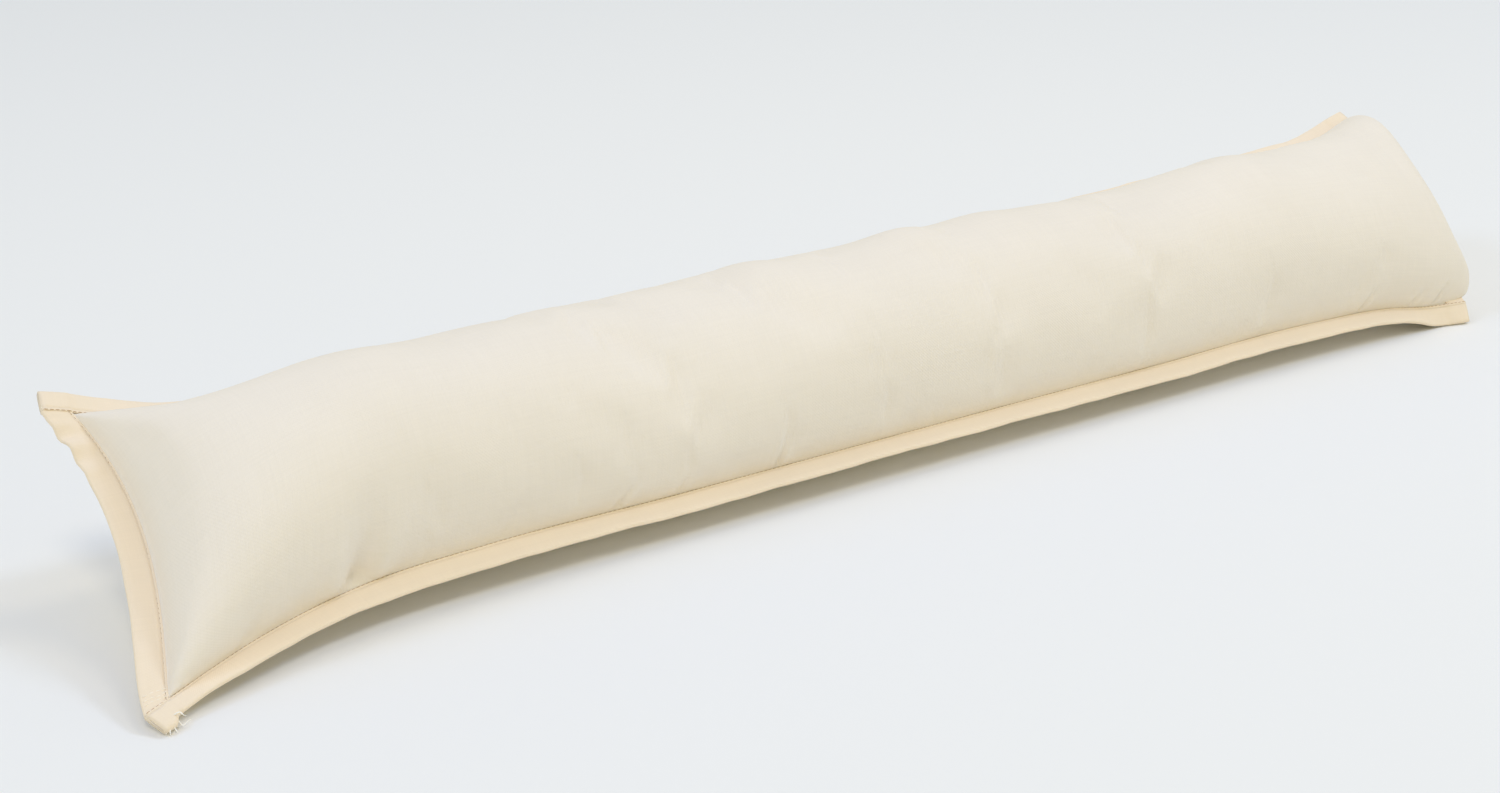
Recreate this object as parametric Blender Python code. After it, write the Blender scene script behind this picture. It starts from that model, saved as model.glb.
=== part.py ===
"""Draught excluder: a long stuffed cotton cushion whose edge is bound all round with a folded tape.

It lies on the floor with its sewn edge tipped: the front seam runs just above the floor and the back
seam is near the top. Metres, +X along the cushion, -Y to the front, +Z up, standing on z = 0.
"""

import math
from collections import namedtuple

import bmesh
import bpy
import numpy as np

# Driving sizes
BINDING_WIDTH = 0.0137
CLOTH = 0.0007
TAPE = 0.0010
GAP = 0.0003
STITCH_SETBACK = 0.0016
LEFT_ROUNDING = 0.090
RIGHT_ROUNDING = 0.036
LEFT_BOW = 0.014
RIGHT_BOW = 0.024
END_SAG = 0.006
BOW_SKEW = 0.45
BOW_REACH = 0.160

# Mesh steps
ROWS = 58
COLUMNS = 18
END_CROWDING = 0.75

# A sewn line, with a row for each place along it from the left corner (0) to the right one (1).
# x, y and z place it, and angle is how steeply the binding stands (below 0: hangs) outside it, in degrees.
Place = namedtuple("Place", "at x y z angle")
FRONT_SEAM = (
    Place(0.00, -0.4335, 0.0128, 0.0078, -21),
    Place(0.05, -0.3880, 0.0315, 0.0130, -15),
    Place(0.12, -0.3260, 0.0460, 0.0190, -16),
    Place(0.20, -0.2550, 0.0505, 0.0203, -17),
    Place(0.32, -0.1510, 0.0510, 0.0192, -18),
    Place(0.50, 0.0030, 0.0515, 0.0188, -18),
    Place(0.70, 0.1750, 0.0515, 0.0185, -18),
    Place(0.86, 0.3120, 0.0515, 0.0183, -18),
    Place(0.94, 0.3790, 0.0495, 0.0148, -20),
    Place(0.97, 0.4080, 0.0478, 0.0112, -24),
    Place(1.00, 0.4275, 0.0495, 0.0112, -25),
)
BACK_SEAM = (
    Place(0.00, -0.4240, 0.1440, 0.0960, 26),
    Place(0.05, -0.3820, 0.1410, 0.0862, 22),
    Place(0.12, -0.3230, 0.1425, 0.0812, 14),
    Place(0.20, -0.2540, 0.1475, 0.0810, 9),
    Place(0.32, -0.1510, 0.1510, 0.0815, 8),
    Place(0.50, 0.0030, 0.1515, 0.0815, 8),
    Place(0.70, 0.1750, 0.1515, 0.0830, 8),
    Place(0.86, 0.3120, 0.1510, 0.0875, 10),
    Place(0.94, 0.3800, 0.1520, 0.0925, 18),
    Place(1.00, 0.4310, 0.1530, 0.0965, 30),
)

# How far the upper panel (crown) and the lower one (belly) stand off the line between the seams.
Fullness = namedtuple("Fullness", "at crown belly")
FULLNESS = (
    Fullness(0.00, 0.064, 0.046),
    Fullness(0.12, 0.067, 0.051),
    Fullness(0.22, 0.063, 0.052),
    Fullness(0.50, 0.061, 0.052),
    Fullness(0.70, 0.062, 0.052),
    Fullness(0.85, 0.060, 0.052),
    Fullness(1.00, 0.055, 0.050),
)

# Stitch puckers: where along the front seam, how deep, how wide, how far up the panel, and the slant.
Pucker = namedtuple("Pucker", "at depth width reach slant")
PUCKERS = (
    Pucker(0.055, 0.0030, 0.012, 0.50, 0.012),
    Pucker(0.135, 0.0040, 0.016, 0.55, 0.020),
    Pucker(0.330, 0.0018, 0.014, 0.35, 0.016),
    Pucker(0.430, 0.0020, 0.013, 0.35, 0.014),
    Pucker(0.880, 0.0020, 0.014, 0.35, 0.012),
    Pucker(0.955, 0.0030, 0.012, 0.45, 0.010),
)

LIP = BINDING_WIDTH - TAPE - GAP
SLOT = CLOTH + GAP
SHELL = SLOT + TAPE
LONG_SEAMS = {-1: FRONT_SEAM, 1: BACK_SEAM}

Material = namedtuple("Material", "name colour roughness")
PANEL_CLOTH = Material("calico_panel", (0.80, 0.76, 0.67, 1.0), 0.92)
TAPE_CLOTH = Material("cotton_tape", (0.88, 0.76, 0.62, 1.0), 0.88)


def column_of(table, name, at):
    """One column of a table at these shares of the length, on a smooth curve through its rows."""
    stations = np.array([row.at for row in table])
    values = np.array([getattr(row, name) for row in table], float)
    slopes = np.gradient(values, stations)
    at = np.clip(at, 0.0, 1.0)
    i = np.clip(np.searchsorted(stations, at, side="right") - 1, 0, len(stations) - 2)
    step = stations[i + 1] - stations[i]
    u = (at - stations[i]) / step
    start = (1 + 2 * u) * (1 - u) ** 2 * values[i] + u * (1 - u) ** 2 * step * slopes[i]
    end = u * u * (3 - 2 * u) * values[i + 1] + u * u * (u - 1) * step * slopes[i + 1]
    return start + end


def unit(vector):
    return vector / np.linalg.norm(vector, axis=-1, keepdims=True)


def long_seam(side, at):
    """Points of the front (-1) or back (1) sewn line."""
    table = LONG_SEAMS[side]
    return np.stack([column_of(table, name, at) for name in ("x", "y", "z")], axis=-1)


def long_frame(side, at):
    """Along, outward and upward directions of the binding at places of a long sewn line."""
    step = 1e-3
    forth = unit(long_seam(side, np.clip(at, 0, 1 - step) + step) - long_seam(side, np.clip(at, step, 1) - step))
    angle = np.radians(column_of(LONG_SEAMS[side], "angle", at))
    out = np.stack([0 * angle, side * np.cos(angle), np.sin(angle)], axis=-1)
    out = unit(out - (out * forth).sum(-1, keepdims=True) * forth)
    return forth, out, side * np.cross(forth, out)


def upward(at):
    """Square to the line between the long seams, seen along the cushion."""
    across = long_seam(1, at) - long_seam(-1, at)
    return unit(np.stack([0 * across[..., 0], -across[..., 2], across[..., 1]], axis=-1))


def seam_surface(at, across):
    """A point on the sheet that spans the four seams; across is -1 at the front and 1 at the back."""
    share = ((across + 1) / 2)[..., None]
    point = long_seam(-1, at) * (1 - share) + long_seam(1, at) * share
    middle = 1 - across**2
    length = long_seam(-1, 1.0)[0] - long_seam(-1, 0.0)[0]
    from_left = np.clip(1 - at * length / BOW_REACH, 0, 1) ** 2
    from_right = np.clip(1 - (1 - at) * length / BOW_REACH, 0, 1) ** 2
    skewed = LEFT_BOW * from_left * (1 + BOW_SKEW * across) + RIGHT_BOW * from_right * (1 - BOW_SKEW * across)
    point[..., 0] += middle * skewed
    return point - (END_SAG * middle * (from_left + from_right))[..., None] * upward(at)


def end_seam(end, across):
    """Points of the left (0) or right (1) sewn line."""
    return seam_surface(end + 0.0 * across, across)


def end_frame(end, across):
    """Outward and upward directions of an end binding; at the corners they match the long bindings."""
    step = 1e-3
    forth = unit(end_seam(end, across + step) - end_seam(end, across - step))
    way = 2 * end - 1
    straight = np.array([way, 0.0, 0.0])
    straight = unit(straight - (forth @ straight)[:, None] * forth)
    outs = np.empty_like(straight)
    ups = np.empty_like(straight)
    for i, place in enumerate(across):
        side = 1 if place > 0 else -1
        corner, _, lifted = long_frame(side, np.array(float(end)))
        share = abs(place) ** 3
        outs[i] = unit((1 - share) * straight[i] + share * way * corner)
        ups[i] = unit((1 - share) * way * np.cross(straight[i], forth[i]) + share * lifted)
    return outs, ups


def end_closing(at):
    """How full the cushion is near its ends: 0 on the end seams, 1 past the rounding."""
    length = long_seam(-1, 1.0)[0] - long_seam(-1, 0.0)[0]
    left = np.clip(at * length / LEFT_ROUNDING, 0, 1)
    right = np.clip((1 - at) * length / RIGHT_ROUNDING, 0, 1)
    return (1 - (1 - left) ** 2) ** 0.55 * (1 - (1 - right) ** 2) ** 0.5


def pucker_depth(at, across):
    """How far the small folds that start at the front seam draw the cloth in."""
    drawn = 0.0 * at
    length = long_seam(-1, 1.0)[0] - long_seam(-1, 0.0)[0]
    up = (across + 1) / 2
    for fold in PUCKERS:
        centre = fold.at * length + fold.slant * up / fold.reach
        off = (at * length - centre) / fold.width
        drawn = drawn + fold.depth * np.exp(-(off**2)) * np.clip(1 - up / fold.reach, 0, 1)
    return drawn


def panel_point(at, across, side):
    """A point of the stuffed upper (side 1) or lower (side -1) panel."""
    depth = column_of(FULLNESS, "crown" if side > 0 else "belly", at)
    swell = depth * np.sqrt(np.clip(1 - across**2, 0, 1)) * end_closing(at)
    if side > 0:
        swell = np.maximum(swell - pucker_depth(at, across), 0.0)
    point = seam_surface(at, across) + side * (swell + CLOTH)[..., None] * upward(at)
    point[..., 2] = np.maximum(point[..., 2], 0.0)
    return point


def row_shares():
    """Shares of the length where the rows of points lie, closer together near both ends."""
    u = np.linspace(0.0, 1.0, ROWS + 1)
    return (1 - END_CROWDING) * u + END_CROWDING * (0.5 - 0.5 * np.cos(math.pi * u))


def column_shares():
    """Places across a panel, from -1 at the front seam to 1 at the back seam."""
    return -np.cos(np.linspace(0.0, math.pi, COLUMNS + 1))


def cover_layer(side):
    """Points of the upper (1) or lower (-1) layer, rows along it and columns across, with the sewn edge."""
    rows, columns = row_shares(), column_shares()
    at, across = np.meshgrid(rows, columns, indexing="ij")
    layer = np.zeros((len(rows) + 2, len(columns) + 2, 3))
    layer[1:-1, 1:-1] = panel_point(at, across, side)
    for edge, column in ((-1, 0), (1, -1)):
        forth, out, up = long_frame(edge, rows)
        seam = long_seam(edge, rows) + side * CLOTH * up
        layer[1:-1, column] = seam + LIP * out
        layer[1:-1, 1 if edge < 0 else -2] = seam
        for end, row in ((0, 0), (1, -1)):
            way = 2 * end - 1
            layer[row, column] = (seam + LIP * out + way * LIP * forth)[-end]
    for end, row in ((0, 0), (1, -1)):
        out, up = end_frame(end, columns)
        seam = end_seam(end, columns) + side * CLOTH * up
        layer[row, 1:-1] = seam + LIP * out
        layer[1 if end == 0 else -2, 1:-1] = seam
    return layer


def build_cover(bm):
    """The two panels and their filling: a grid, given a second layer, with every point set in place."""
    upper, lower = cover_layer(1), cover_layer(-1)
    rows, columns = upper.shape[:2]
    grid = bmesh.ops.create_grid(bm, x_segments=rows - 1, y_segments=columns - 1, size=1.0)["verts"]
    made = bmesh.ops.extrude_face_region(bm, geom=bm.faces[:])["geom"]
    raised = [item for item in made if isinstance(item, bmesh.types.BMVert)]
    for layer, verts in ((lower, grid), (upper, raised)):
        for vert in verts:
            i = round((vert.co.x + 1) / 2 * (rows - 1))
            j = round((vert.co.y + 1) / 2 * (columns - 1))
            vert.co = layer[i, j]


def tape_profile():
    """The folded tape's section, as (out, lift) pairs: a U that wraps the panels' edge."""
    outer = BINDING_WIDTH
    fold = outer - TAPE
    return (
        (STITCH_SETBACK, SHELL),
        (outer - SHELL, SHELL),
        (outer, SHELL * 0.35),
        (outer, -SHELL * 0.35),
        (outer - SHELL, -SHELL),
        (STITCH_SETBACK, -SHELL),
        (STITCH_SETBACK, -SLOT),
        (fold, -SLOT),
        (fold, SLOT),
        (STITCH_SETBACK, SLOT),
    )


def loft(bm, rings):
    """Bridges closed rings of points one after another, and closes both ends."""
    made = [[bm.verts.new(point) for point in ring] for ring in rings]
    count = len(made[0])
    for first, second in zip(made, made[1:]):
        for k in range(count):
            n = (k + 1) % count
            bm.faces.new((first[k], first[n], second[n], second[k]))
    for ring in (made[0], made[-1]):
        bm.faces.new(ring)


def build_long_binding(side, bm):
    """The front (-1) or back (1) tape, which runs past both end seams to the corners."""
    rows = row_shares()
    forth, out, up = long_frame(side, rows)
    seam = long_seam(side, rows)
    rings = [[p + a * o + b * n for a, b in tape_profile()] for p, o, n in zip(seam, out, up)]
    first = [point - BINDING_WIDTH * forth[0] for point in rings[0]]
    last = [point + BINDING_WIDTH * forth[-1] for point in rings[-1]]
    loft(bm, [first, *rings, last])


def build_end_binding(end, bm):
    """The left (0) or right (1) tape, which butts between the two long ones."""
    columns = column_shares()
    out, up = end_frame(end, columns)
    seam = end_seam(end, columns)
    rings = [[p + a * o + b * n for a, b in tape_profile()] for p, o, n in zip(seam, out, up)]
    more = STITCH_SETBACK - GAP
    first = [point + more * long_frame(-1, np.array(float(end)))[1] for point in rings[0]]
    last = [point + more * long_frame(1, np.array(float(end)))[1] for point in rings[-1]]
    loft(bm, [first, *rings, last])


def make_material(values):
    material = bpy.data.materials.new(values.name)
    material.use_nodes = True
    shader = material.node_tree.nodes["Principled BSDF"]
    shader.inputs["Base Color"].default_value = values.colour
    shader.inputs["Roughness"].default_value = values.roughness
    return material


def add_object(name, build, material, collection):
    mesh = bpy.data.meshes.new(name)
    bm = bmesh.new()
    build(bm)
    bmesh.ops.recalc_face_normals(bm, faces=bm.faces[:])
    bm.to_mesh(mesh)
    bm.free()
    mesh.shade_smooth()
    mesh.set_sharp_from_angle(angle=math.radians(40))
    mesh.materials.append(material)
    obj = bpy.data.objects.new(name, mesh)
    collection.objects.link(obj)


def centre_on_floor(objects):
    """Moves the whole cushion so that its box is centred on the origin and stands on z = 0."""
    corners = np.array([vert.co for obj in objects for vert in obj.data.vertices])
    low, high = corners.min(axis=0), corners.max(axis=0)
    shift = np.array([-(low[0] + high[0]) / 2, -(low[1] + high[1]) / 2, -low[2]])
    for obj in objects:
        for vert in obj.data.vertices:
            vert.co = np.array(vert.co) + shift


def main():
    for obj in list(bpy.data.objects):
        bpy.data.objects.remove(obj)
    collection = bpy.data.collections.new("draught_excluder")
    bpy.context.scene.collection.children.link(collection)
    panel = make_material(PANEL_CLOTH)
    tape = make_material(TAPE_CLOTH)
    add_object("filled_cover", build_cover, panel, collection)
    add_object("binding_front", lambda bm: build_long_binding(-1, bm), tape, collection)
    add_object("binding_back", lambda bm: build_long_binding(1, bm), tape, collection)
    add_object("binding_left", lambda bm: build_end_binding(0, bm), tape, collection)
    add_object("binding_right", lambda bm: build_end_binding(1, bm), tape, collection)
    centre_on_floor(collection.objects)


main()
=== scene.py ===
"""Draught excluder: a stuffed cotton tube with a folded tape bound over its sewn edge, and its stage.

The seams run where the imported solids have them. Metres, +X along the cushion, -Y to the front, +Z up.
"""

import math
from collections import namedtuple

import bmesh
import bpy
import numpy as np
from bpy.props import FloatProperty, FloatVectorProperty, IntProperty, PointerProperty
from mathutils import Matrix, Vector


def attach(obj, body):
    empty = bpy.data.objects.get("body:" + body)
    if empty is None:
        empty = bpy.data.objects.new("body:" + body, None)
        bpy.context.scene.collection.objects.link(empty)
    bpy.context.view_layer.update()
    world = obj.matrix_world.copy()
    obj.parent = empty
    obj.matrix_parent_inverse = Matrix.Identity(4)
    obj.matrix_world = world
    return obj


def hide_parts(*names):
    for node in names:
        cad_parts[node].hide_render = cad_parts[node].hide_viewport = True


bl_info = {
    "name": "Draught Excluder",
    "version": (1, 0, 0),
    "blender": (4, 5, 0),
    "location": "3D View > Sidebar > Draught Excluder",
    "description": "Builds a stuffed cotton door cushion with a bound edge, and a plain stage",
    "category": "Object",
}

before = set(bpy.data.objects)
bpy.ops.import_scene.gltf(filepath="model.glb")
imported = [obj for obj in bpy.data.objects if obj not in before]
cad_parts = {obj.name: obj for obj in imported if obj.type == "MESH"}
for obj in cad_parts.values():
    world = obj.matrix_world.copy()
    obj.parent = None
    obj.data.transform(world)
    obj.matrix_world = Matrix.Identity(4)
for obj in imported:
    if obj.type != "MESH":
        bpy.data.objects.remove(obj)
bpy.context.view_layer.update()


def linear(hex_colour, alpha=1.0):
    """An sRGB hex colour as linear red, green, blue and alpha."""
    parts = [int(hex_colour[i : i + 2], 16) / 255 for i in (0, 2, 4)]
    return (*[c / 12.92 if c <= 0.04045 else ((c + 0.055) / 1.055) ** 2.4 for c in parts], alpha)


# The front left corner's own frame, seen from the middle of the cushion's footprint.
CORNER = np.array([-0.01081, -0.08058, 0.0])

# A sewn line, with a row for each place along it from the left corner (0) to the right one (1).
# x, y and z place it, and angle is how steeply the binding stands (below 0: hangs) outside it, in degrees.
Place = namedtuple("Place", "at x y z angle")
FRONT_SEAM = (
    Place(0.00, -0.4335, 0.0128, 0.0078, -19),
    Place(0.02, -0.4153, 0.0206, 0.0099, -9),
    Place(0.05, -0.3880, 0.0315, 0.0130, -9),
    Place(0.12, -0.3260, 0.0460, 0.0190, -16),
    Place(0.20, -0.2550, 0.0505, 0.0203, -17),
    Place(0.32, -0.1510, 0.0510, 0.0192, -18),
    Place(0.40, -0.0830, 0.0512, 0.0190, -15),
    Place(0.50, 0.0030, 0.0515, 0.0188, -13),
    Place(0.70, 0.1750, 0.0515, 0.0185, -18),
    Place(0.86, 0.3120, 0.0515, 0.0183, -18),
    Place(0.94, 0.3790, 0.0495, 0.0148, -20),
    Place(0.97, 0.4050, 0.0470, 0.0114, -32),
    Place(1.00, 0.4212, 0.0420, 0.0122, -58),
)
BACK_SEAM = (
    Place(0.00, -0.4240, 0.1440, 0.0960, 26),
    Place(0.05, -0.3820, 0.1410, 0.0846, 16),
    Place(0.12, -0.3230, 0.1425, 0.0804, 10),
    Place(0.20, -0.2540, 0.1475, 0.0810, 9),
    Place(0.32, -0.1510, 0.1510, 0.0815, 8),
    Place(0.50, 0.0030, 0.1515, 0.0815, 8),
    Place(0.70, 0.1750, 0.1515, 0.0830, 8),
    Place(0.86, 0.3120, 0.1510, 0.0875, 10),
    Place(0.94, 0.3800, 0.1520, 0.0888, 14),
    Place(0.97, 0.4055, 0.1525, 0.0898, 20),
    Place(1.00, 0.4310, 0.1530, 0.0962, 30),
)
LONG_SEAMS = {-1: FRONT_SEAM, 1: BACK_SEAM}

# How far the upper panel (crown) and the lower one (belly) stand off the line between the seams.
Fullness = namedtuple("Fullness", "at crown belly")
FULLNESS = (
    Fullness(0.00, 0.064, 0.046),
    Fullness(0.12, 0.067, 0.051),
    Fullness(0.22, 0.063, 0.052),
    Fullness(0.50, 0.061, 0.052),
    Fullness(0.70, 0.062, 0.052),
    Fullness(0.85, 0.060, 0.052),
    Fullness(1.00, 0.055, 0.050),
)

LEFT_ROUNDING, RIGHT_ROUNDING = 0.090, 0.028
LEFT_BOW, RIGHT_BOW, LEFT_SKEW, RIGHT_SKEW, BOW_REACH = 0.0152, 0.005, 0.30, 0.80, 0.160
# How far the filling bulges past the right end's seam, and how much more of that is at the front.
RIGHT_BULGE, BULGE_SKEW = 0.0065, 0.5
END_SAG = 0.006
# How far each tape's inner fold stays from the seam; the left one laps over it, so no crevice shows.
SETBACKS = {"front": 0.0003, "back": 0.0003, "left": -0.0006, "right": 0.0003}

# Creases pressed into the upper panel: where along the front seam they start, how far up the panel
# they reach (0 to 1), how far along they lean, their depth and their half width.
Crease = namedtuple("Crease", "at reach lean depth width")
CREASES = (
    Crease(0.050, 0.16, 0.010, 0.0016, 0.0060),
    Crease(0.118, 0.34, 0.006, 0.0070, 0.0080),
    Crease(0.158, 0.07, 0.004, 0.0014, 0.0026),
    Crease(0.205, 0.07, 0.006, 0.0014, 0.0026),
    Crease(0.249, 0.06, 0.006, 0.0012, 0.0024),
    Crease(0.281, 0.12, 0.010, 0.0026, 0.0024),
    Crease(0.324, 0.11, 0.006, 0.0018, 0.0026),
    Crease(0.397, 0.26, 0.005, 0.0026, 0.0024),
    Crease(0.470, 0.07, 0.004, 0.0010, 0.0030),
    Crease(0.560, 0.06, 0.004, 0.0010, 0.0030),
    Crease(0.690, 0.06, 0.006, 0.0010, 0.0030),
    Crease(0.800, 0.07, 0.006, 0.0010, 0.0030),
    Crease(0.905, 0.14, 0.012, 0.0026, 0.0026),
    Crease(0.955, 0.12, 0.012, 0.0022, 0.0026),
    Crease(0.982, 0.12, 0.010, 0.0020, 0.0026),
)

# Where the filling pushes the cloth out of the plain form: a place, how far it moves and how wide the push is.
Push = namedtuple("Push", "x y z dx dy dz radius")
PUSHES = (
    Push(0.423, -0.036, 0.012, 0.029, -0.003, 0.000, 0.020),
    Push(0.432, -0.020, 0.066, -0.003, 0.000, 0.000, 0.034),
    Push(0.432, 0.015, 0.085, -0.002, 0.000, 0.000, 0.030),
    Push(0.418, 0.050, 0.104, 0.010, 0.003, 0.009, 0.028),
    Push(-0.318, 0.020, 0.110, 0.000, 0.000, 0.0042, 0.032),
    Push(-0.098, 0.020, 0.110, 0.000, 0.000, -0.0032, 0.012),
    Push(-0.074, 0.020, 0.110, 0.000, 0.000, 0.0040, 0.024),
    Push(0.024, 0.020, 0.110, 0.000, 0.000, 0.0050, 0.020),
    Push(0.084, 0.020, 0.110, 0.000, 0.000, 0.0026, 0.020),
    Push(0.190, 0.020, 0.110, 0.000, 0.000, -0.0034, 0.036),
    Push(0.270, 0.020, 0.110, 0.000, 0.000, 0.0036, 0.024),
)

# The room's light is warm from the sides, as from cream walls, and cooler from above. Large soft
# lights stand behind the camera, to the left and to the front right, and a small one hangs close.
WARM_WALLS, COOL_CEILING = (0.74, 0.685, 0.37, 1.0), (0.485, 0.55, 0.77, 1.0)
Lamp = namedtuple("Lamp", "name tilt azimuth distance size power colour")
LAMPS = (
    Lamp("softbox", 35, 240, 5.0, 1.1, 39.5, (1.0, 0.906, 0.69)),
    Lamp("left", 50, 180, 5.0, 1.1, 35.5, (0.42, 0.61, 1.0)),
    Lamp("front_right", 42, 330, 5.0, 1.1, 49.5, (0.64, 0.77, 1.0)),
    Lamp("hanging", 8, 330, 1.9, 0.5, 3.92, (1.0, 0.86, 0.55)),
)

# Where an edge is bent up or down by handling: how far along it, how much and how wide.
Kink = namedtuple("Kink", "edge run lift width")
KINKS = (
    Kink("left", 0.800, 0.0012, 0.0028),
    Kink("left", 0.845, -0.0012, 0.0028),
    Kink("left", 0.885, 0.0024, 0.0034),
    Kink("left", 0.925, -0.0016, 0.0030),
    Kink("left", 0.955, 0.0010, 0.0022),
    Kink("left", 0.170, 0.0007, 0.0030),
    Kink("front", 0.180, -0.0012, 0.0600),
    Kink("front", 0.985, -0.0012, 0.0100),
)

# The front edge is drawn in beside its left corner: by what share of its width, along what length,
# how far before the seam's corner this starts and over what length it sets in.
DRAWN_IN, DRAWN_LENGTH, DRAWN_START, DRAWN_STEP = 0.30, 0.034, 0.0065, 0.0038

# Cut ends of sewing thread at the front left corner: a root and an end.
Strand = namedtuple("Strand", "x y z end_x end_y end_z")
STRANDS = (
    Strand(-0.4464, -0.0786, 0.0048, -0.4494, -0.0858, 0.0006),
    Strand(-0.4470, -0.0788, 0.0046, -0.4513, -0.0840, 0.0008),
    Strand(-0.4460, -0.0784, 0.0048, -0.4459, -0.0846, 0.0010),
    Strand(-0.4456, -0.0782, 0.0050, -0.4427, -0.0835, 0.0025),
    Strand(-0.4452, -0.0780, 0.0052, -0.4402, -0.0844, 0.0045),
    Strand(-0.4450, -0.0776, 0.0056, -0.4408, -0.0822, 0.0066),
)

Rail = namedtuple("Rail", "points out up run corner")


class CushionSizes(bpy.types.PropertyGroup):
    """What a maker would change in the cut, the sewing and the filling."""

    tape_width: FloatProperty(name="Tape width", description="Folded width of the binding", default=0.0137, unit="LENGTH")
    tape_thickness: FloatProperty(name="Tape thickness", description="One layer of tape", default=0.0007, unit="LENGTH")
    cloth_thickness: FloatProperty(name="Cloth thickness", description="One layer of the panels", default=0.0004, unit="LENGTH")
    filling_pressure: FloatProperty(name="Filling pressure", description="How hard the filling pushes the cloth out", default=4.0)
    cloth_ease: FloatProperty(name="Cloth ease", description="How much longer the panels are than their seams, as a share", default=0.004)
    swell_limit: FloatProperty(name="Swell limit", description="Furthest that the filling may move the cloth", default=0.005, unit="LENGTH")
    fill: FloatProperty(name="Fill", description="From 0, slack, to 1, tight", default=0.9, min=0.0, max=1.0, subtype="FACTOR")
    stitch_pitch: FloatProperty(name="Stitch pitch", description="From one stitch to the next", default=0.0027, unit="LENGTH")
    stitch_length: FloatProperty(name="Stitch length", description="Thread that shows in each stitch", default=0.0024, unit="LENGTH")
    thread_diameter: FloatProperty(name="Thread diameter", description="Sewing thread", default=0.00045, unit="LENGTH")
    panel_rows: IntProperty(name="Panel rows", description="Mesh steps along the cushion", default=260, min=40)
    panel_columns: IntProperty(name="Panel columns", description="Mesh steps across a panel", default=40, min=10)


class CushionColours(bpy.types.PropertyGroup):
    """Colours of the cloth, the tape and the thread."""

    panel: FloatVectorProperty(name="Panel", description="Undyed cotton cloth", default=linear("EEE6DC"), size=4, subtype="COLOR")
    tape: FloatVectorProperty(name="Tape", description="Binding, a warmer cream", default=linear("F2E2CC"), size=4, subtype="COLOR")
    # The thread's tan is partly its own colour and partly painted shade of the crevice between tape and panel, where
    # the topstitching lies.
    thread: FloatVectorProperty(name="Thread", description="Sewing thread", default=linear("B8946A"), size=4, subtype="COLOR")


class StageSettings(bpy.types.PropertyGroup):
    """Floor, lights and camera."""

    floor: FloatVectorProperty(name="Floor", description="Plain paper floor", default=linear("EFEFEF"), size=4, subtype="COLOR")
    lamp_strength: FloatProperty(name="Lamp strength", description="Share of each soft light's full power", default=1.0)
    room_strength: FloatProperty(name="Room light", description="Light from all round", default=1.0)
    lens: FloatProperty(name="Lens", description="Focal length on a 36 mm wide sensor", default=55.2)


def column_of(table, name, at):
    """One column of a table at these shares of the length, on a smooth curve through its rows."""
    stations = np.array([row.at for row in table])
    values = np.array([getattr(row, name) for row in table], float)
    slopes = np.gradient(values, stations)
    at = np.clip(at, 0.0, 1.0)
    i = np.clip(np.searchsorted(stations, at, side="right") - 1, 0, len(stations) - 2)
    step = stations[i + 1] - stations[i]
    u = (at - stations[i]) / step
    start = (1 + 2 * u) * (1 - u) ** 2 * values[i] + u * (1 - u) ** 2 * step * slopes[i]
    end = u * u * (3 - 2 * u) * values[i + 1] + u * u * (u - 1) * step * slopes[i + 1]
    return start + end


def unit(vector):
    return vector / np.linalg.norm(vector, axis=-1, keepdims=True)


def drift(run, seed, wavelength):
    """A smooth random wave of about this wavelength, between about -1 and 1."""
    dice = np.random.default_rng(seed)
    total = 0.0 * run
    for share in (0.6, 1.0, 1.7):
        total = total + np.sin(2 * math.pi * run / (wavelength * share) + dice.uniform(0, 6.28)) * dice.uniform(0.4, 0.9)
    return total / 1.6


def long_seam(side, at):
    """Points of the front (-1) or back (1) sewn line."""
    table = LONG_SEAMS[side]
    return np.stack([column_of(table, name, at) for name in ("x", "y", "z")], axis=-1) + CORNER


SEAM_LENGTH = float(np.linalg.norm(np.diff(long_seam(-1, np.linspace(0, 1, 200)), axis=0), axis=1).sum())


def long_frame(side, at):
    """Along, outward and upward directions of the binding at places of a long sewn line."""
    step = 1e-3
    forth = unit(long_seam(side, np.clip(at, 0, 1 - step) + step) - long_seam(side, np.clip(at, step, 1) - step))
    angle = np.radians(column_of(LONG_SEAMS[side], "angle", at))
    out = np.stack([0 * angle, side * np.cos(angle), np.sin(angle)], axis=-1)
    out = unit(out - (out * forth).sum(-1, keepdims=True) * forth)
    return forth, out, side * np.cross(forth, out)


def upward(at):
    """Square to the line between the long seams, seen along the cushion."""
    across = long_seam(1, at) - long_seam(-1, at)
    return unit(np.stack([0 * across[..., 0], -across[..., 2], across[..., 1]], axis=-1))


def seam_surface(at, across):
    """A point on the sheet that spans the four seams; across is -1 at the front and 1 at the back."""
    share = ((across + 1) / 2)[..., None]
    point = long_seam(-1, at) * (1 - share) + long_seam(1, at) * share
    middle = 1 - across**2
    from_left = np.clip(1 - at * SEAM_LENGTH / BOW_REACH, 0, 1) ** 2
    from_right = np.clip(1 - (1 - at) * SEAM_LENGTH / BOW_REACH, 0, 1) ** 2
    skewed = LEFT_BOW * from_left * (1 + LEFT_SKEW * across) + RIGHT_BOW * from_right * (1 - RIGHT_SKEW * across)
    point[..., 0] += middle * skewed
    return point - (END_SAG * middle * (from_left + from_right))[..., None] * upward(at)


def end_seam(end, across):
    """Points of the left (0) or right (1) sewn line."""
    return seam_surface(end + 0.0 * across, across)


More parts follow.
